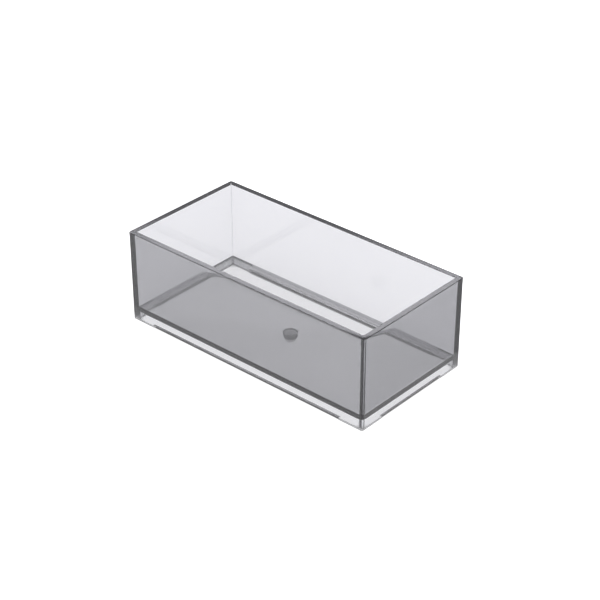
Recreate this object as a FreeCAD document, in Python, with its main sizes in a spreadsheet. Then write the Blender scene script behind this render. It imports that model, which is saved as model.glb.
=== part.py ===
"""Open-top drawer organizer box, moulded in one piece from clear smoke-grey plastic.

The box is a single injection moulding: four walls with a slight draft, a rim
that flares a little at the top, a floor that sits above the table on a hollow
skirt, four corner feet left standing where the skirt's lower edge is relieved,
and the stub of the moulding gate under the middle of the floor.

Millimetres. +Z is up, +X runs along the box, and the origin is the middle of
the box at the level of its feet.
"""

import FreeCAD, Part
import math
import os

import Sketcher

# Driving sizes of the moulding, in millimetres and degrees
SIZES = {
    "box_length": 154.0,
    "box_width": 75.4,
    "box_height": 50.8,
    "wall_thickness": 3.0,
    "floor_thickness": 2.7,
    "skirt_height": 4.8,
    "skirt_thickness": 3.0,
    "corner_radius": 1.0,
    "compartment_corner_radius": 0.4,
    "recess_corner_radius": 1.4,
    "outer_draft": 0.1,
    "inner_draft": 0.2,
    "recess_draft": 1.0,
    "lip_flare": 0.15,
    "lip_height": 4.0,
    "rim_edge_radius": 0.35,
    "foot_edge_radius": 0.15,
    "floor_edge_radius": 0.15,
    "recess_edge_radius": 0.4,
    "foot_length": 14.5,
    "foot_relief": 1.3,
    "gate_diameter": 7.4,
    "gate_draft": 2.0,
    "gate_edge_radius": 0.3,
    "gate_ground_gap": 1.8,
}

# How far the flank leans in between the rim and the feet, on each side
FLANK_DROP = "(sizes.box_height - sizes.lip_height) * tan(sizes.outer_draft * 1 deg)"
FLANK_LEAN = f"(sizes.lip_flare + {FLANK_DROP})"
# Length and width over the feet, and inside the compartment at the rim
FOOT_OUTLINE = (f"(sizes.box_length - 2 * {FLANK_LEAN})", f"(sizes.box_width - 2 * {FLANK_LEAN})")
RIM_WALL = "(sizes.lip_flare + sizes.wall_thickness)"
COMPARTMENT_OUTLINE = (f"(sizes.box_length - 2 * {RIM_WALL})", f"(sizes.box_width - 2 * {RIM_WALL})")
# Height of the compartment's floor, and how far each cut runs past the solid
FLOOR_LEVEL = "(sizes.skirt_height + sizes.floor_thickness)"
OVERRUN = "sizes.wall_thickness"

START, END, CENTRE = 1, 2, 3
X_AXIS, ROOT_POINT = -1, (-1, 1)
UP = FreeCAD.Vector(0, 0, 1)
LEVEL_TOLERANCE = 1e-4


def make_sheet(doc):
    """Write the driving sizes into a sheet, one named cell for each."""
    sheet = doc.addObject("Spreadsheet::Sheet", "sizes")
    for row, (alias, value) in enumerate(SIZES.items(), start=1):
        sheet.set(f"A{row}", alias)
        sheet.set(f"B{row}", str(value))
        sheet.setAlias(f"B{row}", alias)
    doc.recompute()
    return sheet


def point(x, y):
    """Return a point of a sketch's plane."""
    return FreeCAD.Vector(x, y, 0)


def arc(centre, radius, first_degrees, last_degrees):
    """Return an arc of a sketch's plane, drawn anticlockwise."""
    circle = Part.Circle(centre, UP, radius)
    return Part.ArcOfCircle(circle, math.radians(first_degrees), math.radians(last_degrees))


def value_of(body, expression):
    """Return the number that an expression on the sheet gives now."""
    result = body.evalExpression(expression)
    return getattr(result, "Value", result)


def origin_plane(body, role):
    """Return the body's own origin plane with this role."""
    for feature in body.Origin.OriginFeatures:
        if feature.Role == role:
            return feature
    raise RuntimeError(f"no origin plane {role}")


def new_sketch(body, name, role, height=None):
    """Make a sketch on one of the body's origin planes, raised by an expression."""
    sketch = body.newObject("Sketcher::SketchObject", name)
    sketch.AttachmentSupport = [(origin_plane(body, role), "")]
    sketch.MapMode = "FlatFace"
    if height:
        sketch.setExpression("AttachmentOffset.Base.z", height)
    return sketch


def tie(sketch, expression, *constraint):
    """Add a dimension to a sketch and bind it to the sheet."""
    index = sketch.addConstraint(Sketcher.Constraint(*constraint))
    sketch.setExpression(f"Constraints[{index}]", expression)


def join(sketch, kind, here, here_end, there, there_end):
    """Join the ends of two edges of a sketch, in line (Tangent) or not (Coincident)."""
    sketch.addConstraint(Sketcher.Constraint(kind, here, here_end, there, there_end))


def rounded_rectangle(body, name, outline, radius, height=None):
    """Draw a centred rectangle with round corners, from the middle of its +X side.

    outline is the pair of expressions for its length and width.
    """
    sketch = new_sketch(body, name, "XY_Plane", height)
    half_x, half_y = (value_of(body, size) / 2 for size in outline)
    r = value_of(body, radius)
    start = point(half_x, 0)
    geometry = []
    for sign_x, sign_y, angle in ((1, 1, 0), (-1, 1, 90), (-1, -1, 180), (1, -1, 270)):
        centre = point(sign_x * (half_x - r), sign_y * (half_y - r))
        corner = arc(centre, r, angle, angle + 90)
        geometry += [Part.LineSegment(start, corner.StartPoint), corner]
        start = corner.EndPoint
    geometry.append(Part.LineSegment(start, point(half_x, 0)))
    edges = sketch.addGeometry(geometry, False)
    for here, there in zip(edges, edges[1:]):
        join(sketch, "Tangent", here, END, there, START)
    first, first_corner, top_side = edges[0], edges[1], edges[2]
    join(sketch, "Coincident", edges[-1], END, first, START)
    sketch.addConstraint(Sketcher.Constraint("PointOnObject", first, START, X_AXIS))
    for side in (edges[0], edges[4], edges[8]):
        sketch.addConstraint(Sketcher.Constraint("Vertical", side))
    for side in (edges[2], edges[6]):
        sketch.addConstraint(Sketcher.Constraint("Horizontal", side))
    for corner in (edges[3], edges[5], edges[7]):
        sketch.addConstraint(Sketcher.Constraint("Equal", first_corner, corner))
    opposite = (first_corner, CENTRE, edges[5], CENTRE)
    sketch.addConstraint(Sketcher.Constraint("Symmetric", *opposite, *ROOT_POINT))
    tie(sketch, radius, "Radius", first_corner, r)
    tie(sketch, f"{outline[0]} / 2", "DistanceX", *ROOT_POINT, first, START, half_x)
    tie(sketch, f"{outline[1]} / 2", "DistanceY", *ROOT_POINT, top_side, START, half_y)
    return sketch


def flank_profile(body):
    """Draw what is cut away outside the wall: rim edge, flare, drafted flank and foot edge."""
    sketch = new_sketch(body, "flank_profile", "XZ_Plane")
    rim_x = value_of(body, "sizes.box_length / 2")
    rim_z = value_of(body, "sizes.box_height")
    rim_radius = value_of(body, "sizes.rim_edge_radius")
    foot_radius = value_of(body, "sizes.foot_edge_radius")
    foot_x = rim_x - value_of(body, FLANK_LEAN)
    knee = point(rim_x - value_of(body, "sizes.lip_flare"), rim_z - value_of(body, "sizes.lip_height"))
    over = value_of(body, OVERRUN)
    rim_edge = arc(point(rim_x - rim_radius, rim_z - rim_radius), rim_radius, -2, 90)
    foot_edge = arc(point(foot_x - foot_radius, foot_radius), foot_radius, -90, 0)
    outer_low, outer_high = point(rim_x + over, -over), point(rim_x + over, rim_z + over)
    inner_low, inner_high = point(foot_x - foot_radius, -over), point(rim_x - rim_radius, rim_z + over)
    geometry = [
        rim_edge,
        Part.LineSegment(rim_edge.StartPoint, knee),
        Part.LineSegment(knee, foot_edge.EndPoint),
        foot_edge,
        Part.LineSegment(foot_edge.StartPoint, inner_low),
        Part.LineSegment(inner_low, outer_low),
        Part.LineSegment(outer_low, outer_high),
        Part.LineSegment(outer_high, inner_high),
        Part.LineSegment(inner_high, rim_edge.EndPoint),
    ]
    edges = sketch.addGeometry(geometry, False)
    rim_edge, flare, flank, foot_edge, down, below, outside, above, back = edges
    join(sketch, "Tangent", rim_edge, START, flare, START)
    join(sketch, "Coincident", flare, END, flank, START)
    join(sketch, "Tangent", flank, END, foot_edge, END)
    join(sketch, "Coincident", foot_edge, START, down, START)
    for here, there in ((down, below), (below, outside), (outside, above), (above, back)):
        join(sketch, "Coincident", here, END, there, START)
    join(sketch, "Coincident", back, END, rim_edge, END)
    for edge in (down, outside, back):
        sketch.addConstraint(Sketcher.Constraint("Vertical", edge))
    for edge in (below, above):
        sketch.addConstraint(Sketcher.Constraint("Horizontal", edge))
    sketch.addConstraint(Sketcher.Constraint("Vertical", rim_edge, END, rim_edge, CENTRE))
    sketch.addConstraint(Sketcher.Constraint("Vertical", foot_edge, START, foot_edge, CENTRE))
    half_length = "sizes.box_length / 2"
    tie(sketch, "sizes.rim_edge_radius", "Radius", rim_edge, rim_radius)
    tie(sketch, "sizes.foot_edge_radius", "Radius", foot_edge, foot_radius)
    tie(sketch, f"{half_length} - sizes.rim_edge_radius",
        "DistanceX", *ROOT_POINT, rim_edge, CENTRE, rim_x - rim_radius)
    tie(sketch, "sizes.box_height - sizes.rim_edge_radius",
        "DistanceY", *ROOT_POINT, rim_edge, CENTRE, rim_z - rim_radius)
    tie(sketch, f"{half_length} - sizes.lip_flare", "DistanceX", *ROOT_POINT, flank, START, knee.x)
    tie(sketch, "sizes.box_height - sizes.lip_height", "DistanceY", *ROOT_POINT, flank, START, knee.y)
    tie(sketch, "sizes.foot_edge_radius", "DistanceY", *ROOT_POINT, foot_edge, CENTRE, foot_radius)
    lean_angle = math.radians(270 - value_of(body, "sizes.outer_draft"))
    tie(sketch, "270 deg - sizes.outer_draft * 1 deg", "Angle", flank, lean_angle)
    tie(sketch, f"{half_length} + {OVERRUN}", "DistanceX", *ROOT_POINT, outside, START, outer_low.x)
    tie(sketch, OVERRUN, "DistanceY", outside, START, *ROOT_POINT, over)
    tie(sketch, f"sizes.box_height + {OVERRUN}", "DistanceY", *ROOT_POINT, outside, END, outer_high.y)
    return sketch


def flank_trim(body):
    """Make the block at the rim's size and trim its flanks all round."""
    corner = f"sizes.corner_radius + {FLANK_LEAN}"
    block = body.newObject("PartDesign::Pad", "rim_block")
    block.Profile = rounded_rectangle(body, "rim_outline", ("sizes.box_length", "sizes.box_width"), corner)
    block.setExpression("Length", "sizes.box_height")
    path = rounded_rectangle(body, "foot_outline", FOOT_OUTLINE, "sizes.corner_radius")
    profile = flank_profile(body)
    body.Document.recompute()
    trim = body.newObject("PartDesign::SubtractivePipe", "flank_trim")
    trim.Profile = profile
    trim.Spine = (path, [])
    body.Document.recompute()
    return trim


def pocket(body, name, sketch, depth, draft=None, upwards=False):
    """Cut a sketch into the body, drafted so that it narrows with its depth."""
    cut = body.newObject("PartDesign::Pocket", name)
    cut.Profile = sketch
    cut.Reversed = upwards
    cut.setExpression("Length", depth)
    if draft:
        cut.setExpression("TaperAngle", f"-{draft}")
    body.Document.recompute()
    return cut


def level_face(shape, level):
    """Return the largest flat face that lies level at this height."""
    def lies_level(face):
        box = face.BoundBox
        return abs(box.ZMin - level) < LEVEL_TOLERANCE and abs(box.ZMax - level) < LEVEL_TOLERANCE
    return max((face for face in shape.Faces if lies_level(face)), key=lambda face: face.Area)


def edge_names(shape, edges):
    """Return the names by which the body's features know these edges."""
    return [f"Edge{i}" for i, edge in enumerate(shape.Edges, start=1) if any(edge.isSame(e) for e in edges)]


def round_edges(body, name, edges, radius):
    """Round edges of the body's newest feature."""
    base = body.Tip
    fillet = body.newObject("PartDesign::Fillet", name)
    fillet.Base = (base, edge_names(base.Shape, edges))
    fillet.setExpression("Radius", radius)
    body.Document.recompute()
    return fillet


def compartment(body):
    """Hollow out the open compartment and round its edges at the rim and the floor."""
    radius = "sizes.compartment_corner_radius"
    outline = rounded_rectangle(body, "compartment_outline", COMPARTMENT_OUTLINE, radius, "sizes.box_height")
    cut = pocket(body, "compartment", outline, f"sizes.box_height - {FLOOR_LEVEL}", "sizes.inner_draft")
    floor = level_face(cut.Shape, value_of(body, FLOOR_LEVEL))
    round_edges(body, "floor_edge", floor.OuterWire.Edges, "sizes.floor_edge_radius")
    rim = level_face(body.Tip.Shape, value_of(body, "sizes.box_height"))
    mouth = [edge for wire in rim.Wires if not wire.isSame(rim.OuterWire) for edge in wire.Edges]
    round_edges(body, "rim_inner_edge", mouth, "sizes.rim_edge_radius")
    return cut


def underfloor_recess(body):
    """Hollow out the space under the floor, which leaves the skirt standing."""
    outline_size = tuple(f"({size} - 2 * sizes.skirt_thickness)" for size in FOOT_OUTLINE)
    outline = rounded_rectangle(body, "recess_outline", outline_size, "sizes.recess_corner_radius")
    cut = pocket(body, "underfloor_recess", outline, "sizes.skirt_height", "sizes.recess_draft", upwards=True)
    underside = level_face(cut.Shape, value_of(body, "sizes.skirt_height"))
    round_edges(body, "recess_edge", underside.OuterWire.Edges, "sizes.recess_edge_radius")
    return cut


def skirt_relief(body, name, role, outline_size, span):
    """Raise the skirt's lower edge between the corner feet, on two opposite sides."""
    sketch = new_sketch(body, name + "_profile", role)
    reach = f"({outline_size} / 2 - sizes.foot_length)"
    half, top = value_of(body, reach), value_of(body, "sizes.foot_relief")
    low = -value_of(body, OVERRUN)
    corners = [point(-half, low), point(half, low), point(half, top), point(-half, top)]
    sides = [Part.LineSegment(a, b) for a, b in zip(corners, corners[1:] + corners[:1])]
    edges = sketch.addGeometry(sides, False)
    for here, there in zip(edges, edges[1:] + edges[:1]):
        join(sketch, "Coincident", here, END, there, START)
    bottom, right, lid, left = edges
    for side in (bottom, lid):
        sketch.addConstraint(Sketcher.Constraint("Horizontal", side))
    for side in (left, right):
        sketch.addConstraint(Sketcher.Constraint("Vertical", side))
    tie(sketch, reach, "DistanceX", *ROOT_POINT, right, END, half)
    tie(sketch, reach, "DistanceX", left, START, *ROOT_POINT, half)
    tie(sketch, "sizes.foot_relief", "DistanceY", *ROOT_POINT, right, END, top)
    tie(sketch, OVERRUN, "DistanceY", right, START, *ROOT_POINT, -low)
    relief = body.newObject("PartDesign::Pocket", name)
    relief.Profile = sketch
    relief.SideType = "Symmetric"
    relief.setExpression("Length", f"{span} + 2 * {OVERRUN}")
    body.Document.recompute()
    return relief


def gate_stub(body):
    """Add the stub of the gate under the middle of the floor, with its edges rounded."""
    sketch = new_sketch(body, "gate_outline", "XY_Plane", "sizes.skirt_height")
    radius = value_of(body, "sizes.gate_diameter / 2")
    circle = sketch.addGeometry(Part.Circle(point(0, 0), UP, radius), False)
    join(sketch, "Coincident", circle, CENTRE, *ROOT_POINT)
    tie(sketch, "sizes.gate_diameter", "Diameter", circle, 2 * radius)
    stub = body.newObject("PartDesign::Pad", "gate_stub")
    stub.Profile = sketch
    stub.Reversed = True
    stub.setExpression("Length", "sizes.skirt_height - sizes.gate_ground_gap")
    stub.setExpression("TaperAngle", "-sizes.gate_draft")
    body.Document.recompute()
    underside = level_face(stub.Shape, value_of(body, "sizes.skirt_height"))
    root = [edge for wire in underside.Wires if not wire.isSame(underside.OuterWire) for edge in wire.Edges]
    tip = level_face(stub.Shape, value_of(body, "sizes.gate_ground_gap"))
    round_edges(body, "gate_edges", root + tip.Edges, "sizes.gate_edge_radius")
    return stub


def organizer_box(doc):
    """Build the moulding as one body, and make sure that each main step acts on it."""
    body = doc.addObject("PartDesign::Body", "organizer_box")
    body.Label = "organizer_box"
    body.Placement = FreeCAD.Placement()
    cuts = [
        flank_trim(body),
        compartment(body),
        underfloor_recess(body),
        skirt_relief(body, "long_side_relief", "XZ_Plane", FOOT_OUTLINE[0], "sizes.box_width"),
        skirt_relief(body, "short_side_relief", "YZ_Plane", FOOT_OUTLINE[1], "sizes.box_length"),
    ]
    stub = gate_stub(body)
    for cut in cuts:
        if cut.Shape.Volume >= cut.BaseFeature.Shape.Volume:
            raise RuntimeError(f"{cut.Label} cuts nothing")
    if stub.Shape.Volume <= stub.BaseFeature.Shape.Volume:
        raise RuntimeError(f"{stub.Label} adds nothing")
    return body


def check_document(doc):
    """Stop if any object of the document failed or has a bad shape."""
    for item in doc.Objects:
        if "Invalid" in item.State or "Error" in item.State:
            raise RuntimeError(f"{item.Label} failed: {item.State}")
    for body in doc.findObjects("PartDesign::Body"):
        if body.Shape.isNull() or not body.Shape.isValid():
            raise RuntimeError(f"{body.Label} has no valid shape")
        if len(body.Shape.Solids) != 1:
            raise RuntimeError(f"{body.Label} is not one solid")


def write_parts(doc):
    """Write each body to a STEP file named after its label."""
    os.makedirs("parts", exist_ok=True)
    for body in doc.findObjects("PartDesign::Body"):
        body.Shape.exportStep(f"parts/{body.Label}.step")
        faces, volume = len(body.Shape.Faces), body.Shape.Volume
        print(f"{body.Label}: {faces} faces, {volume:.1f} mm3")


document = FreeCAD.newDocument("drawer_organizer")
make_sheet(document)
organizer_box(document)
document.recompute()
check_document(document)
write_parts(document)
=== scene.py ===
"""Looks of the open-top drawer organizer box: the clear smoke-grey moulding, its table and its light.

The moulding is one piece of plastic, so it is one closed mesh. A geometry tree draws it from the
box's own cross-section: it rounds the corners of the section, carries it round a rounded rectangle
and lifts the skirt's lower edge between the four corner feet.

Sizes are metres. +Z is up, +X runs along the box, and the box stands on the plane of its feet.
"""

import logging
import math
from dataclasses import dataclass
from enum import Enum

import bpy
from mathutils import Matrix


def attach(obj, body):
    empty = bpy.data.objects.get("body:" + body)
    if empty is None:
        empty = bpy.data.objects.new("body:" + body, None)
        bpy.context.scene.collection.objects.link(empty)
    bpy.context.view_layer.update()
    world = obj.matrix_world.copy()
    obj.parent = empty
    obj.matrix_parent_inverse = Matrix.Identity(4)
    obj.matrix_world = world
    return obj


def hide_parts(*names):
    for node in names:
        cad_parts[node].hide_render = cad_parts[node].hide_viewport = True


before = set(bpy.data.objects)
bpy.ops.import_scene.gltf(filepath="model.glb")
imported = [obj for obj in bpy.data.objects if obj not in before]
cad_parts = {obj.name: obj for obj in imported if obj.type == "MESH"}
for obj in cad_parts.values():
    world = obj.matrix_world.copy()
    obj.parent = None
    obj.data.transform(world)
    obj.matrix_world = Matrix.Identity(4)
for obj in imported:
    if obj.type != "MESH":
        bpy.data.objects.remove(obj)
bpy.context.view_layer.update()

LOG = logging.getLogger("drawer_organizer")
MM = 0.001
WHITE = (1.0, 1.0, 1.0, 1.0)
# Light in the plastic turns many times between its faces before it leaves
PLASTIC_BOUNCES = 32
MIRROR_BOUNCES = 16


class Rise(Enum):
    """Whether a corner of the cross-section rises with the skirt's edge between the feet."""

    STAYS = 0.0
    RISES = 1.0


@dataclass(frozen=True)
class Outline:
    """A centred rectangle with round corners, seen from above.

    A corner of the cross-section names the outline that it follows round the box.
    """

    half_length: float
    half_width: float
    corner_radius: float


@dataclass(frozen=True)
class BoxOutlines:
    """The outlines that the cross-section follows round the box, from the outside in."""

    feet: Outline
    mouth: Outline
    recess: Outline
    gate: Outline
    middle: Outline


@dataclass(frozen=True)
class SectionCorner:
    """One corner of the cross-section through the middle of the +X end of the box."""

    across: float
    height: float
    outline: Outline
    rounding: float = 0.0
    rise: Rise = Rise.STAYS


class TreeBuilder:
    """Adds nodes to a node tree and links them, with plain numbers set on the sockets."""

    def __init__(self, tree: bpy.types.NodeTree) -> None:
        """Keep the tree that the nodes go into.

        Args:
            tree: The geometry or shader tree to fill.
        """
        self.tree = tree

    def feed(self, socket: bpy.types.NodeSocket, value: object) -> None:
        """Link a socket to another one, or set its plain value.

        Args:
            socket: The input socket.
            value: An output socket, or the value that the input takes.
        """
        if isinstance(value, bpy.types.NodeSocket):
            self.tree.links.new(value, socket)
        else:
            socket.default_value = value

    def node(self, kind: str, settings: dict | None = None, **inputs: object) -> bpy.types.Node:
        """Add one node.

        Args:
            kind: The node's type name.
            settings: The node's own properties.
            **inputs: Values or links by input name, with underscores for spaces.

        Returns:
            The new node.
        """
        made = self.tree.nodes.new(kind)
        for name, value in (settings or {}).items():
            setattr(made, name, value)
        for name, value in inputs.items():
            self.feed(made.inputs[name.replace("_", " ")], value)
        return made

    def in_order(self, kind: str, settings: dict | None, *values: object) -> bpy.types.Node:
        """Add one node whose inputs share a name, so that they are filled by their order.

        Args:
            kind: The node's type name.
            settings: The node's own properties.
            *values: Values or links for its inputs, in order.

        Returns:
            The new node.
        """
        made = self.node(kind, settings)
        for socket, value in zip(made.inputs, values):
            self.feed(socket, value)
        return made

    def math(self, operation: str, *values: object) -> bpy.types.NodeSocket:
        """Add a Math node.

        Args:
            operation: The node's operation, such as MULTIPLY.
            *values: Its inputs in order.

        Returns:
            The result socket.
        """
        return self.in_order("ShaderNodeMath", {"operation": operation}, *values).outputs[0]

    def inverse(self, mask: object) -> bpy.types.NodeSocket:
        """Swap the 0 and the 1 of a mask."""
        return self.math("SUBTRACT", 1.0, mask)

    def object_axes(self) -> bpy.types.bpy_prop_collection:
        """Read the place of a point on its object, as the outputs X, Y and Z."""
        place = self.node("ShaderNodeTexCoord").outputs["Object"]
        return self.node("ShaderNodeSeparateXYZ", Vector=place).outputs

    def pick(self, choice: object, when_true: object, when_false: object) -> bpy.types.NodeSocket:
        """Blend two numbers by a mask of 0 or 1.

        Args:
            choice: The mask.
            when_true: The value where the mask is 1.
            when_false: The value where the mask is 0.

        Returns:
            The result socket.
        """
        difference = self.math("SUBTRACT", when_true, when_false)
        return self.math("MULTIPLY_ADD", choice, difference, when_false)

    def attribute(self, name: str) -> bpy.types.NodeSocket:
        """Read a named number that is kept on the points."""
        return self.node("GeometryNodeInputNamedAttribute", Name=name).outputs["Attribute"]

    def keep(self, geometry: bpy.types.NodeSocket, name: str, value: object) -> bpy.types.NodeSocket:
        """Store a number on each point under a name.

        Args:
            geometry: The geometry that takes it.
            name: The attribute's name.
            value: The field or number to store.

        Returns:
            The geometry socket that carries the attribute.
        """
        stored = self.node("GeometryNodeStoreNamedAttribute", Geometry=geometry, Name=name, Value=value)
        return stored.outputs["Geometry"]


def new_material(name: str) -> tuple[bpy.types.Material, TreeBuilder]:
    """Start a material.

    Args:
        name: The material's name.

    Returns:
        The material, and the builder of its empty tree.
    """
    made = bpy.data.materials.new(name)
    made.use_nodes = True
    made.node_tree.nodes.clear()
    return made, TreeBuilder(made.node_tree)


def new_object(name: str, data: bpy.types.ID) -> bpy.types.Object:
    """Put a mesh, a light or a camera into the scene.

    Args:
        name: The object's name.
        data: What it carries.

    Returns:
        The object, at the origin.
    """
    made = bpy.data.objects.new(name, data)
    bpy.context.scene.collection.objects.link(made)
    return made


class MouldingTree:
    """The geometry tree that turns the cross-section into the whole moulding."""

    INPUTS = (
        ("Corner Segments", "NodeSocketInt"),
        ("Edge Segments", "NodeSocketInt"),
        ("Foot Reach X", "NodeSocketFloat"),
        ("Foot Reach Y", "NodeSocketFloat"),
        ("Foot Relief", "NodeSocketFloat"),
        ("Merge Distance", "NodeSocketFloat"),
        ("Crease Angle", "NodeSocketFloat"),
        ("Plastic", "NodeSocketMaterial"),
    )
    # Columns of points beside each round corner: two where a foot ends on each of its straight sides
    COLUMNS_BESIDE = 2

    def __init__(self) -> None:
        """Make the tree with its named inputs and fill it."""
        self.group = bpy.data.node_groups.new("moulding_from_section", "GeometryNodeTree")
        face = self.group.interface
        face.new_socket("Section", in_out="INPUT", socket_type="NodeSocketGeometry")
        for name, kind in self.INPUTS:
            face.new_socket(name, in_out="INPUT", socket_type=kind)
        face.new_socket("Moulding", in_out="OUTPUT", socket_type="NodeSocketGeometry")
        self.build = TreeBuilder(self.group)
        self.inputs = self.group.nodes.new("NodeGroupInput").outputs
        self._fill()

    def identifier(self, name: str) -> str:
        """Return the identifier of the input with this name."""
        for item in self.group.interface.items_tree:
            if item.in_out == "INPUT" and item.name == name:
                return item.identifier
        raise KeyError(name)

    def _rounded_section(self) -> bpy.types.NodeSocket:
        """Turn the section's polyline into a curve with its corners rounded.

        Returns:
            The curve, with each point's place stored on it.
        """
        build = self.build
        curve = build.node("GeometryNodeMeshToCurve", Mesh=self.inputs["Section"])
        fillet = build.node(
            "GeometryNodeFilletCurve",
            {"mode": "POLY"},
            Curve=curve.outputs["Curve"],
            Count=self.inputs["Edge Segments"],
            Radius=build.attribute("rounding"),
            Limit_Radius=True,
        )
        place = build.node("GeometryNodeInputPosition").outputs["Position"]
        axes = build.node("ShaderNodeSeparateXYZ", Vector=place).outputs
        kept = build.keep(fillet.outputs["Curve"], "across", axes["X"])
        return build.keep(kept, "height", axes["Z"])

    def _ring(self) -> bpy.types.NodeSocket:
        """Make the closed path round the box, with each column's part in it stored on the points.

        Returns:
            The path, whose own shape doesn't matter: it only counts the columns.
        """
        build = self.build
        steps = self.inputs["Corner Segments"]
        beside = 2 * self.COLUMNS_BESIDE
        per_corner = build.math("ADD", steps, beside + 1)
        ring = build.node(
            "GeometryNodeCurvePrimitiveCircle", Resolution=build.math("MULTIPLY", per_corner, 4)
        ).outputs["Curve"]
        index = build.node("GeometryNodeInputIndex").outputs["Index"]
        # Half a column is added so that rounding can't move a point to the corner before
        corner = build.math("FLOOR", build.math("DIVIDE", build.math("ADD", index, 0.5), per_corner))
        step = build.math("SUBTRACT", index, build.math("MULTIPLY", corner, per_corner))
        share = build.math("DIVIDE", build.math("SUBTRACT", step, self.COLUMNS_BESIDE), steps)
        turn = build.math("MINIMUM", build.math("MAXIMUM", share, 0.0), 1.0)
        quarter = math.pi / 2
        angle = build.math("MULTIPLY", build.math("ADD", corner, turn), quarter)
        middle = build.math("MULTIPLY", build.math("ADD", corner, 0.5), quarter)
        middle_step = build.math("DIVIDE", build.math("ADD", steps, beside), 2.0)
        from_middle = build.math("ABSOLUTE", build.math("SUBTRACT", step, middle_step))
        half_steps = build.math("DIVIDE", steps, 2.0)
        # Past the corner's last column comes the foot's column, and then the one between the feet
        on_side = build.math("GREATER_THAN", from_middle, build.math("ADD", half_steps, 0.5))
        between_feet = build.math("GREATER_THAN", from_middle, build.math("ADD", half_steps, 1.5))
        cosine, sine = build.math("COSINE", angle), build.math("SINE", angle)
        on_long_side = build.math("GREATER_THAN", build.math("ABSOLUTE", sine), 0.5)
        on_short_side = build.inverse(on_long_side)
        for name, value in (
            ("turn_x", cosine),
            ("turn_y", sine),
            ("sign_x", build.math("SIGN", build.math("COSINE", middle))),
            ("sign_y", build.math("SIGN", build.math("SINE", middle))),
            ("slides_x", build.math("MULTIPLY", on_side, on_long_side)),
            ("slides_y", build.math("MULTIPLY", on_side, on_short_side)),
            ("between_feet", between_feet),
        ):
            ring = build.keep(ring, name, value)
        return ring

    def _place(self, axis: str, half: object, radius: object) -> bpy.types.NodeSocket:
        """Work out one level coordinate of every point.

        Args:
            axis: The axis, x or y.
            half: Half the outline's size along that axis.
            radius: The outline's corner radius.

        Returns:
            The coordinate.
        """
        build = self.build
        core = build.math("SUBTRACT", half, radius)
        reach = build.math("MINIMUM", self.inputs[f"Foot Reach {axis.upper()}"], core)
        flat = build.pick(build.attribute(f"slides_{axis}"), reach, core)
        signed = build.math("MULTIPLY", build.attribute(f"sign_{axis}"), flat)
        return build.math("MULTIPLY_ADD", build.attribute(f"turn_{axis}"), radius, signed)

    def _fill(self) -> None:
        """Sweep the section round the ring, put each point in its place, and finish the mesh."""
        build = self.build
        sweep = build.node(
            "GeometryNodeCurveToMesh", Curve=self._ring(), Profile_Curve=self._rounded_section()
        )
        across = build.attribute("across")
        inset = build.math("SUBTRACT", build.attribute("half_length"), across)
        half_width = build.math("SUBTRACT", build.attribute("half_width"), inset)
        radius = build.math("SUBTRACT", build.attribute("corner_radius"), inset)
        lift = build.math("MULTIPLY", build.attribute("rise"), build.attribute("between_feet"))
        place = build.node(
            "ShaderNodeCombineXYZ",
            X=self._place("x", across, radius),
            Y=self._place("y", half_width, radius),
            Z=build.math("MULTIPLY_ADD", lift, self.inputs["Foot Relief"], build.attribute("height")),
        )
        moved = build.node(
            "GeometryNodeSetPosition", Geometry=sweep.outputs["Mesh"], Position=place.outputs["Vector"]
        )
        merged = build.node(
            "GeometryNodeMergeByDistance",
            Geometry=moved.outputs["Geometry"],
            Distance=self.inputs["Merge Distance"],
        )
        smooth = build.node(
            "GeometryNodeSetShadeSmooth", Geometry=merged.outputs["Geometry"], Shade_Smooth=True
        )
        angle = build.node("GeometryNodeInputMeshEdgeAngle").outputs["Unsigned Angle"]
        creases = build.node(
            "GeometryNodeSetShadeSmooth",
            {"domain": "EDGE"},
            Geometry=smooth.outputs["Geometry"],
            Selection=build.math("GREATER_THAN", angle, self.inputs["Crease Angle"]),
            Shade_Smooth=False,
        )
        solid = build.node("GeometryNodeRealizeInstances", Geometry=creases.outputs["Geometry"])
        dressed = build.node(
            "GeometryNodeSetMaterial", Geometry=solid.outputs["Geometry"], Material=self.inputs["Plastic"]
        )
        end = self.group.nodes.new("NodeGroupOutput")
        build.feed(end.inputs["Moulding"], dressed.outputs["Geometry"])


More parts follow.
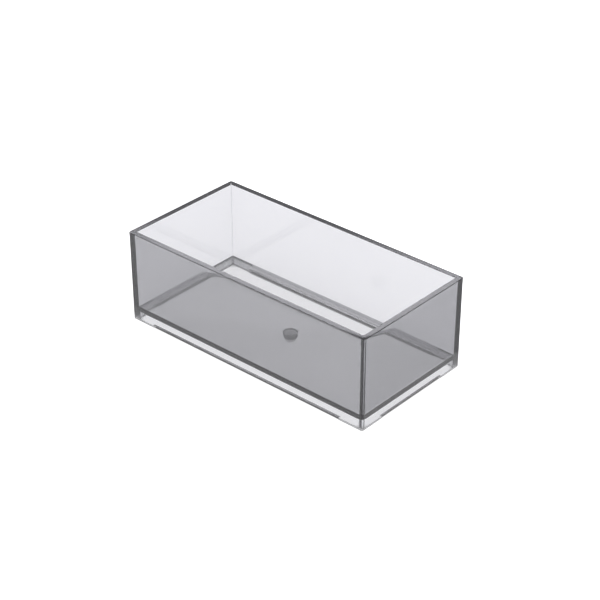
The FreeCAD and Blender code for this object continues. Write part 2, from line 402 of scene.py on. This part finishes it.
@dataclass(frozen=True)
class SmokePlastic:
    """Clear polystyrene tinted smoke grey, with a polished moulded surface.

    Attributes:
        refraction: Index of refraction.
        tint: Share of each colour that the absorption spares.
        density: Absorption of the other share, per metre of the way through.
        polish: Roughness of the clean surface.
        haze: Roughness where fine dust lies on it.
        scatter: Share of the light that the surface scatters.
        wave_size: Length of the faint waves that a moulded face has.
        wave_height: Height of those waves.
        dust_scale: Fineness of the dust, in specks a metre.
        dust_range: Where in the noise the dust starts, and where it is full.
        cut_roughness: Roughness of the gate stub, which is left as it was cut.
        cut_reach: Radius of the rough zone, as a share of the gate's diameter.
        cut_clearance: How far under the floor the rough zone starts.
    """

    refraction: float = 1.58
    tint: tuple[float, float, float] = (0.30, 0.30, 0.33)
    density: float = 300.0
    polish: float = 0.015
    haze: float = 0.03
    scatter: float = 0.07
    wave_size: float = 0.045
    wave_height: float = 0.002 * MM
    dust_scale: float = 900.0
    dust_range: tuple[float, float] = (0.55, 0.8)
    cut_roughness: float = 0.6
    cut_reach: float = 0.6
    cut_clearance: float = 0.1 * MM

    def material(self, box: "BoxMoulding") -> bpy.types.Material:
        """Build the plastic.

        Args:
            box: The moulding, whose gate stub is left rough where it was cut.

        Returns:
            The finished material.
        """
        made, build = new_material("smoke_plastic")
        place = build.node("ShaderNodeTexCoord").outputs["Object"]
        waves = build.node("ShaderNodeTexNoise", Vector=place, Scale=1 / self.wave_size, Detail=1.0)
        bump = build.node(
            "ShaderNodeBump", Height=waves.outputs["Fac"], Distance=self.wave_height, Strength=1.0
        )
        dust = build.node("ShaderNodeTexNoise", Vector=place, Scale=self.dust_scale, Detail=3.0)
        polish = build.node(
            "ShaderNodeMapRange",
            Value=dust.outputs["Fac"],
            From_Min=self.dust_range[0],
            From_Max=self.dust_range[1],
            To_Min=self.polish,
            To_Max=self.haze,
        )
        axes = build.object_axes()
        across_squared = build.math("MULTIPLY", axes["Y"], axes["Y"])
        from_middle = build.math(
            "SQRT", build.math("MULTIPLY_ADD", axes["X"], axes["X"], across_squared)
        )
        near_gate = build.math("LESS_THAN", from_middle, self.cut_reach * box.gate_diameter)
        below_floor = build.math("LESS_THAN", axes["Z"], box.skirt_height - self.cut_clearance)
        on_gate = build.math("MULTIPLY", near_gate, below_floor)
        roughness = build.pick(on_gate, self.cut_roughness, polish.outputs["Result"])
        surface = build.node(
            "ShaderNodeBsdfPrincipled",
            Base_Color=WHITE,
            Roughness=roughness,
            IOR=self.refraction,
            Transmission_Weight=1.0 - self.scatter,
            Normal=bump.outputs["Normal"],
        )
        body = build.node("ShaderNodeVolumeAbsorption", Color=(*self.tint, 1.0), Density=self.density)
        end = build.node(
            "ShaderNodeOutputMaterial", Surface=surface.outputs["BSDF"], Volume=body.outputs["Volume"]
        )
        end.is_active_output = True
        return made


@dataclass
class BoxMoulding:
    """The whole box: four drafted walls, a floor on a hollow skirt, four feet and the gate stub.

    Attributes:
        length: Size along X, over the rim.
        width: Size across, over the rim.
        height: Size from the feet to the rim.
        wall_thickness: Wall at the rim.
        floor_thickness: Floor between the compartment and the recess.
        skirt_height: Height of the floor's underside over the table.
        skirt_thickness: Skirt at the feet.
        corner_radius: Upright outer corners.
        compartment_corner_radius: Upright corners inside the compartment.
        recess_corner_radius: Upright corners inside the skirt.
        outer_draft: Draft of the outside.
        inner_draft: Draft of the compartment.
        recess_draft: Draft of the recess.
        lip_flare: How far the rim leans out over the last of the wall.
        lip_height: Height that the flare takes.
        rim_edge_radius: Both edges of the rim.
        foot_edge_radius: Outer edge under the feet and the skirt.
        foot_inner_edge_radius: Inner edge under the feet and the skirt.
        floor_edge_radius: Where the floor meets the walls.
        recess_edge_radius: Where the skirt meets the floor's underside.
        foot_length: Length of a foot along each side.
        foot_relief: How far the skirt's edge is lifted between the feet.
        gate_diameter: Width of the gate stub at the floor.
        gate_draft: Draft of the stub.
        gate_edge_radius: Edges of the stub.
        gate_ground_gap: Height of the stub's end over the table.
        lip_end_in_radii: Where the flare's arc ends under the rim, in radii of the rim's edge.
        corner_segments: Faces in each upright corner.
        edge_segments: Faces in each rounded edge.
        merge_distance: Points nearer than this are one.
        crease_angle: Edges sharper than this stay sharp.
    """

    length: float = 154.0 * MM
    width: float = 75.4 * MM
    height: float = 50.8 * MM
    wall_thickness: float = 3.0 * MM
    floor_thickness: float = 2.7 * MM
    skirt_height: float = 4.8 * MM
    skirt_thickness: float = 3.0 * MM
    corner_radius: float = 1.0 * MM
    compartment_corner_radius: float = 0.4 * MM
    recess_corner_radius: float = 1.4 * MM
    outer_draft: float = math.radians(0.1)
    inner_draft: float = math.radians(0.2)
    recess_draft: float = math.radians(1.0)
    lip_flare: float = 0.15 * MM
    lip_height: float = 4.0 * MM
    rim_edge_radius: float = 0.35 * MM
    foot_edge_radius: float = 0.15 * MM
    foot_inner_edge_radius: float = 0.12 * MM
    floor_edge_radius: float = 0.15 * MM
    recess_edge_radius: float = 0.4 * MM
    foot_length: float = 14.5 * MM
    foot_relief: float = 1.3 * MM
    gate_diameter: float = 7.4 * MM
    gate_draft: float = math.radians(2.0)
    gate_edge_radius: float = 0.3 * MM
    gate_ground_gap: float = 1.8 * MM
    lip_end_in_radii: float = 1.2
    corner_segments: int = 16
    edge_segments: int = 10
    merge_distance: float = 0.001 * MM
    crease_angle: float = math.radians(40.0)

    def outlines(self) -> BoxOutlines:
        """Work out the outlines that the cross-section follows.

        Returns:
            The outline over the feet, of the compartment's mouth, of the recess under the floor,
            of the gate stub, and of the middle of the box.
        """
        drop = (self.height - self.lip_height) * math.tan(self.outer_draft)
        lean = self.lip_flare + drop
        half_length, half_width = self.length / 2, self.width / 2
        feet = Outline(half_length - lean, half_width - lean, self.corner_radius)
        wall = self.lip_flare + self.wall_thickness
        mouth = Outline(half_length - wall, half_width - wall, self.compartment_corner_radius)
        skirt = self.skirt_thickness
        recess = Outline(feet.half_length - skirt, feet.half_width - skirt, self.recess_corner_radius)
        gate_radius = self.gate_diameter / 2
        gate = Outline(gate_radius, gate_radius, gate_radius)
        return BoxOutlines(feet, mouth, recess, gate, Outline(0.0, 0.0, 0.0))

    def section(self) -> list[SectionCorner]:
        """Draw the cross-section as its sharp corners, from the floor's middle to the gate's.

        Returns:
            The corners in order, each with the radius that rounds it.
        """
        outlines = self.outlines()
        feet, mouth, recess = outlines.feet, outlines.mouth, outlines.recess
        gate, middle = outlines.gate, outlines.middle
        floor_level = self.skirt_height + self.floor_thickness
        floor_half = mouth.half_length - (self.height - floor_level) * math.tan(self.inner_draft)
        # The lip's flare is an arc that leaves the drafted flank at lip_height and leans out to the rim
        lip_turn = 2 * self.lip_flare / self.lip_height
        lip_corner = self.height - self.lip_height / 2
        flank_at_lip = feet.half_length + lip_corner * math.tan(self.outer_draft)
        lip_tangent = self.lip_height / 2 - self.lip_end_in_radii * self.rim_edge_radius
        lip_radius = lip_tangent / math.tan(lip_turn / 2)
        # The rim's edge is rounded, so its sharp corner stands out for the round to reach the length
        rim_lean = lip_turn + self.outer_draft
        rim_reach = self.rim_edge_radius * ((1 + math.sin(rim_lean)) / math.cos(rim_lean) - 1)
        foot_top = self.foot_relief + self.foot_edge_radius
        flank_at_foot = feet.half_length + foot_top * math.tan(self.outer_draft)
        recess_at_foot = recess.half_length - foot_top * math.tan(self.recess_draft)
        recess_top = recess.half_length - self.skirt_height * math.tan(self.recess_draft)
        gate_tip = gate.half_length - (self.skirt_height - self.gate_ground_gap) * math.tan(self.gate_draft)
        return [
            SectionCorner(0.0, floor_level, middle),
            SectionCorner(floor_half, floor_level, mouth, self.floor_edge_radius),
            SectionCorner(mouth.half_length, self.height, mouth, self.rim_edge_radius),
            SectionCorner(self.length / 2 + rim_reach, self.height, feet, self.rim_edge_radius),
            SectionCorner(flank_at_lip, lip_corner, feet, lip_radius),
            SectionCorner(flank_at_foot, foot_top, feet),
            SectionCorner(feet.half_length, 0.0, feet, self.foot_edge_radius, Rise.RISES),
            SectionCorner(recess.half_length, 0.0, recess, self.foot_inner_edge_radius, Rise.RISES),
            SectionCorner(recess_at_foot, foot_top, recess),
            SectionCorner(recess_top, self.skirt_height, recess, self.recess_edge_radius),
            SectionCorner(gate.half_length, self.skirt_height, gate, self.gate_edge_radius),
            SectionCorner(gate_tip, self.gate_ground_gap, gate, self.gate_edge_radius),
            SectionCorner(0.0, self.gate_ground_gap, middle),
        ]

    def section_object(self) -> bpy.types.Object:
        """Put the cross-section into a line of points that the tree reads.

        Returns:
            The object that carries the section.
        """
        corners = self.section()
        mesh = bpy.data.meshes.new("organizer_box_section")
        points = [(corner.across, 0.0, corner.height) for corner in corners]
        mesh.from_pydata(points, [(i, i + 1) for i in range(len(points) - 1)], [])
        columns = {
            "rounding": [corner.rounding for corner in corners],
            "half_length": [corner.outline.half_length for corner in corners],
            "half_width": [corner.outline.half_width for corner in corners],
            "corner_radius": [corner.outline.corner_radius for corner in corners],
            "rise": [corner.rise.value for corner in corners],
        }
        for name, values in columns.items():
            mesh.attributes.new(name, "FLOAT", "POINT").data.foreach_set("value", values)
        return new_object("organizer_box_section", mesh)

    def build(self, plastic: bpy.types.Material) -> bpy.types.Object:
        """Build the moulding with the geometry tree and bake it to a plain mesh.

        Args:
            plastic: The material that the tree sets.

        Returns:
            The finished piece.
        """
        feet = self.outlines().feet
        tree = MouldingTree()
        source = self.section_object()
        rule = source.modifiers.new("moulding", "NODES")
        rule.node_group = tree.group
        for name, value in (
            ("Corner Segments", self.corner_segments),
            ("Edge Segments", self.edge_segments),
            ("Foot Reach X", feet.half_length - self.foot_length),
            ("Foot Reach Y", feet.half_width - self.foot_length),
            ("Foot Relief", self.foot_relief),
            ("Merge Distance", self.merge_distance),
            ("Crease Angle", self.crease_angle),
            ("Plastic", plastic),
        ):
            rule[tree.identifier(name)] = value
        normals = source.modifiers.new("true_flats", "WEIGHTED_NORMAL")
        normals.keep_sharp = True
        evaluated = source.evaluated_get(bpy.context.evaluated_depsgraph_get())
        mesh = bpy.data.meshes.new_from_object(evaluated)
        mesh.name = "smoke_box_moulding"
        on_points = [item.name for item in mesh.attributes if item.domain == "POINT"]
        for name in on_points:
            if name != "position":
                mesh.attributes.remove(mesh.attributes[name])
        bpy.data.objects.remove(source)
        return new_object("smoke_box_moulding", mesh)


@dataclass
class TableTop:
    """The plain white table that the box stands on.

    The camera, a mirror image and the clear plastic each see it glow, and other light finds it matte. Its
    colour and glow carry painted shade round the box's foot and in the gap under the skirt, and its mirror
    images carry a painted shadow and painted light.

    Attributes:
        box: The moulding that stands on it.
        half_size: Half the table's side, past anything that the camera sees.
        matte: Share of the light that the table gives back.
        glow: Strength that the camera sees.
        glow_through_plastic: Strength seen through the plastic, as an over-exposed white table has.
        mirrored_share: Share of the light that a mirror image on the plastic shows.
        shaded_share: The same on the +X side, where a painted shadow stands for the box's shade on the
            table.
        foot_share: The same close to the box, where painted light stands for the light that the clear skirt
            throws.
        foot_reach: How far from the box that painted light goes.
        shade_edge: How softly the painted shadow starts at the wall.
        shade_reach: How far from the wall the painted shadow ends.
        contact_distance: How near the plastic has to be to cover the table with painted shade.
        closed_share: Openness at which the table is fully covered.
        open_share: Openness at which it is fully open.
        covered_light: Share of the light that a covered spot keeps, as painted contact shade.
        gap_shade: Share of the light that the painted shade in the gap under the skirt takes.
        gap_softness: Width of the soft edge of an area on the table.
    """

    box: BoxMoulding
    half_size: float = 6.0
    matte: float = 0.85
    glow: float = 1.0
    glow_through_plastic: float = 1.54
    mirrored_share: float = 0.7
    shaded_share: float = 0.42
    foot_share: float = 0.85
    foot_reach: float = 9.0 * MM
    shade_edge: float = 8.0 * MM
    shade_reach: float = 150.0 * MM
    contact_distance: float = 4.5 * MM
    closed_share: float = 0.25
    open_share: float = 0.55
    covered_light: float = 0.42
    gap_shade: float = 0.85
    gap_softness: float = 1.0 * MM

    def _beyond(self, build: TreeBuilder, half_x: float, half_y: float) -> bpy.types.NodeSocket:
        """Mark the table outside a centred rectangle, with a soft edge just inside it.

        Args:
            build: The table's tree.
            half_x: Half the rectangle's length.
            half_y: Half its width.

        Returns:
            The mask, 1 outside.
        """
        axes = build.object_axes()
        past = [
            build.node(
                "ShaderNodeMapRange",
                Value=build.math("ABSOLUTE", axes[name]),
                From_Min=half - self.gap_softness,
                From_Max=half,
            ).outputs["Result"]
            for name, half in (("X", half_x), ("Y", half_y))
        ]
        return build.math("MAXIMUM", *past)

    def _gap_light(self, build: TreeBuilder) -> bpy.types.NodeSocket:
        """Paint shade on the table in the low gap under the skirt, between the feet.

        Args:
            build: The table's tree.

        Returns:
            The share of the light that is left.
        """
        outlines = self.box.outlines()
        feet, recess = outlines.feet, outlines.recess
        foot = self.box.foot_length
        under_box = build.inverse(self._beyond(build, feet.half_length, feet.half_width))
        past_recess = self._beyond(build, recess.half_length, recess.half_width)
        under_skirt = build.math("MULTIPLY", under_box, past_recess)
        # The table's own size stands for no limit along the other axis
        off_long_feet = build.inverse(self._beyond(build, feet.half_length - foot, self.half_size))
        off_short_feet = build.inverse(self._beyond(build, self.half_size, feet.half_width - foot))
        gap = build.math("MULTIPLY", under_skirt, build.math("MAXIMUM", off_long_feet, off_short_feet))
        # Painted shade: a ring under the skirt, less the feet, darkens the table
        return build.math("MULTIPLY_ADD", gap, -self.gap_shade, 1.0)

    def _mirrored_light(self, build: TreeBuilder) -> bpy.types.NodeSocket:
        """Dim the table in a mirror image, with a painted shadow on the +X side and painted light close to
        the box.

        Args:
            build: The table's tree.

        Returns:
            The share of the light that is left.
        """
        along = build.object_axes()["X"]
        wall = self.box.length / 2
        # Painted shadow on the +X side, seen only in mirror images
        past_wall = build.node(
            "ShaderNodeMapRange", Value=along, From_Min=wall - self.shade_edge, From_Max=wall
        )
        shade = build.node(
            "ShaderNodeMapRange",
            Value=along,
            From_Min=wall + self.shade_reach / 2,
            From_Max=wall + self.shade_reach,
            To_Min=self.mirrored_share - self.shaded_share,
            To_Max=0.0,
        )
        lost = build.math("MULTIPLY", past_wall.outputs["Result"], shade.outputs["Result"])
        # Painted light close to the box, where the clear skirt would throw it
        past_foot = self._beyond(build, wall + self.foot_reach, self.box.width / 2 + self.foot_reach)
        away = build.math("SUBTRACT", self.mirrored_share, lost)
        return build.pick(past_foot, away, self.foot_share)

    def material(self) -> bpy.types.Material:
        """Build the table's white.

        Returns:
            The finished material.
        """
        made, build = new_material("white_table")
        rays = build.node("ShaderNodeLightPath").outputs
        through = build.math("MULTIPLY", rays["Is Transmission Ray"], self.glow_through_plastic)
        seen = build.math("MAXIMUM", rays["Is Camera Ray"], rays["Is Glossy Ray"])
        seen = build.math("MAXIMUM", build.math("MULTIPLY", seen, self.glow), through)
        # Painted contact shade: the table darkens wherever plastic lies within reach over it
        openness = build.node("ShaderNodeAmbientOcclusion", Distance=self.contact_distance).outputs["AO"]
        contact = build.node(
            "ShaderNodeMapRange",
            Value=openness,
            From_Min=self.closed_share,
            From_Max=self.open_share,
            To_Min=self.covered_light,
        ).outputs["Result"]
        # A ray through the plastic counts as glossy too, so a mirrored one is glossy and nothing else
        mirrored = build.math("GREATER_THAN", rays["Is Glossy Ray"], rays["Is Transmission Ray"])
        share = build.pick(mirrored, self._mirrored_light(build), 1.0)
        # The painted light and shade darken both the table's matte colour and its glow
        lit = build.math("MULTIPLY", build.math("MULTIPLY", share, contact), self._gap_light(build))
        matte = build.node("ShaderNodeBsdfDiffuse", Color=build.math("MULTIPLY", lit, self.matte))
        strength = build.math("MULTIPLY", seen, lit)
        glow = build.node("ShaderNodeEmission", Color=WHITE, Strength=strength)
        both = build.in_order("ShaderNodeAddShader", None, matte.outputs["BSDF"], glow.outputs["Emission"])
        build.node("ShaderNodeOutputMaterial", Surface=both.outputs["Shader"])
        return made

    def build(self) -> bpy.types.Object:
        """Lay the table at the level of the feet.

        Returns:
            The table, which isn't part of the object.
        """
        side = self.half_size
        corners = [(-side, -side, 0.0), (side, -side, 0.0), (side, side, 0.0), (-side, side, 0.0)]
        mesh = bpy.data.meshes.new("table_top")
        mesh.from_pydata(corners, [], [(0, 1, 2, 3)])
        mesh.materials.append(self.material())
        made = new_object("table_top", mesh)
        return made


@dataclass(frozen=True)
class Softbox:
    """A wide soft light that faces the box.

    Attributes:
        name: The light's name.
        width: Its width.
        height: Its height.
        distance: Its distance from the middle of the table.
        azimuth: Its direction round the box, from +Y towards -X.
        elevation: Its direction over the table.
        radiance: Its brightness, where 1 is white.
    """

    name: str
    width: float
    height: float
    distance: float
    azimuth: float
    elevation: float
    radiance: float

    def hang(self) -> None:
        """Hang the light at its distance and turn it to the box."""
        lamp = bpy.data.lights.new(self.name, "AREA")
        lamp.shape = "RECTANGLE"
        lamp.size, lamp.size_y = self.width, self.height
        lamp.energy = self.radiance * math.pi * self.width * self.height
        level = self.distance * math.cos(self.elevation)
        hung = new_object(self.name, lamp)
        hung.location = (
            -level * math.sin(self.azimuth),
            level * math.cos(self.azimuth),
            self.distance * math.sin(self.elevation),
        )
        hung.rotation_euler = (self.elevation - math.pi / 2, 0.0, self.azimuth)
        hung.visible_camera = False


@dataclass
class Studio:
    """Plain soft light: a dim room with a bright ring of light round it, and a soft light overhead.

    Attributes:
        low_wall: Strength of the room under the ring.
        ring: Strength of the ring.
        ceiling: Strength of the room over the ring.
        ring_through_plastic: Share of the room's strength that is seen through the plastic.
        ring_foot: Elevation of the ring's lower edge.
        ring_foot_blend: Height over which that edge is soft.
        ring_top: Elevation of the ring's upper edge.
        ring_top_blend: Height over which that edge is soft.
        ring_roll: How far the ring leans.
        ring_azimuth: The direction in which the ring stands highest, from +X towards +Y.
        backdrop: Strength that the camera sees, where 1 is white.
        cool_white: Colour of the light.
        overhead: The soft light over the box.
    """

    low_wall: float = 0.6
    ring: float = 3.4
    ceiling: float = 0.35
    ring_through_plastic: float = 0.7
    ring_foot: float = math.radians(29.1)
    ring_foot_blend: float = math.radians(1.6)
    ring_top: float = math.radians(31.95)
    ring_top_blend: float = math.radians(0.3)
    ring_roll: float = math.radians(5.0)
    ring_azimuth: float = math.radians(41.4)
    backdrop: float = 1.0
    cool_white: tuple[float, float, float] = (0.94, 0.935, 1.0)
    overhead: Softbox = Softbox("overhead_softbox", 1.6, 1.6, 1.1, 0.0, math.radians(90.0), 0.25)

    def _step(
        self,
        build: TreeBuilder,
        elevation: object,
        edge: tuple[float, float],
        strengths: tuple[float, float],
    ) -> bpy.types.NodeSocket:
        """Change smoothly from one strength to another across an edge of the ring.

        Args:
            build: The world's tree.
            elevation: The elevation of the ray.
            edge: The elevation of the edge, and the height that it blends over.
            strengths: The strengths under and over the edge.

        Returns:
            The strength socket.
        """
        at, half = edge[0], edge[1] / 2
        return build.node(
            "ShaderNodeMapRange",
            {"interpolation_type": "SMOOTHSTEP"},
            Value=elevation,
            From_Min=at - half,
            From_Max=at + half,
            To_Min=strengths[0],
            To_Max=strengths[1],
        ).outputs["Result"]

    def build(self) -> None:
        """Set the room and hang the soft light."""
        world = bpy.data.worlds.new("pale_room")
        world.use_nodes = True
        build = TreeBuilder(world.node_tree)
        direction = build.node("ShaderNodeTexCoord").outputs["Generated"]
        lean = math.sin(self.ring_roll)
        axis = (
            -lean * math.cos(self.ring_azimuth),
            -lean * math.sin(self.ring_azimuth),
            math.cos(self.ring_roll),
        )
        dot_product = {"operation": "DOT_PRODUCT"}
        along_axis = build.in_order("ShaderNodeVectorMath", dot_product, direction, axis)
        elevation = build.math("ARCSINE", along_axis.outputs["Value"])
        foot, top = (self.ring_foot, self.ring_foot_blend), (self.ring_top, self.ring_top_blend)
        under = self._step(build, elevation, foot, (self.low_wall, self.ring))
        over = self._step(build, elevation, top, (self.ring, self.ceiling))
        room = build.math("MINIMUM", under, over)
        rays = build.node("ShaderNodeLightPath").outputs
        dimmed = build.math("MULTIPLY", room, self.ring_through_plastic)
        through = build.math("MAXIMUM", dimmed, self.backdrop)
        clear = build.math("MAXIMUM", rays["Is Camera Ray"], rays["Is Transmission Ray"])
        backdrop = build.node(
            "ShaderNodeBackground",
            Color=WHITE,
            Strength=build.pick(rays["Is Camera Ray"], self.backdrop, through),
        )
        lit_room = build.node("ShaderNodeBackground", Color=(*self.cool_white, 1.0), Strength=room)
        rooms = lit_room.outputs["Background"], backdrop.outputs["Background"]
        either = build.in_order("ShaderNodeMixShader", None, clear, *rooms)
        build.feed(world.node_tree.nodes["World Output"].inputs["Surface"], either.outputs["Shader"])
        bpy.context.scene.world = world
        self.overhead.hang()


@dataclass
class ProductCamera:
    """The camera at the photograph's place and angle.

    Attributes:
        frame_pixels: Width of the photograph's frame.
        focal_pixels: Focal length in pixels of that frame.
        place: Where the camera stands.
        turn: Its turn round Z from looking along +Y.
        dip: How far it looks down.
        nearest: The nearest that it sees.
        farthest: The farthest that it sees.
    """

    frame_pixels: float = 600.0
    focal_pixels: float = 1721.0
    place: tuple[float, float, float] = (489.4 * MM, -549.8 * MM, 468.1 * MM)
    turn: float = math.radians(41.38)
    dip: float = math.radians(31.08)
    nearest: float = 0.01
    farthest: float = 50.0

    def build(self) -> bpy.types.Object:
        """Make the camera and give it to the scene.

        Returns:
            The camera.
        """
        camera = bpy.data.cameras.new("product_camera")
        camera.lens = camera.sensor_width * self.focal_pixels / self.frame_pixels
        camera.clip_start = self.nearest
        camera.clip_end = self.farthest
        made = new_object("product_camera", camera)
        made.location = self.place
        made.rotation_euler = (math.pi / 2 - self.dip, 0.0, self.turn)
        bpy.context.scene.camera = made
        return made


def set_view() -> None:
    """Show colours as written, and let light cross all of the clear walls."""
    scene = bpy.context.scene
    scene.view_settings.view_transform = "Standard"
    scene.cycles.max_bounces = PLASTIC_BOUNCES
    scene.cycles.transmission_bounces = PLASTIC_BOUNCES
    scene.cycles.glossy_bounces = MIRROR_BOUNCES


def main() -> None:
    """Build the camera, the light, the table and the box, in that order."""
    logging.basicConfig(level=logging.INFO, format="%(name)s: %(message)s")
    ProductCamera().build()
    Studio().build()
    moulding = BoxMoulding()
    TableTop(moulding).build()
    box = moulding.build(SmokePlastic().material(moulding))
    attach(box, "root")
    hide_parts("organizer_box")
    LOG.info("%s: %d faces", box.name, len(box.data.polygons))
    set_view()


if __name__ == "__main__":
    main()
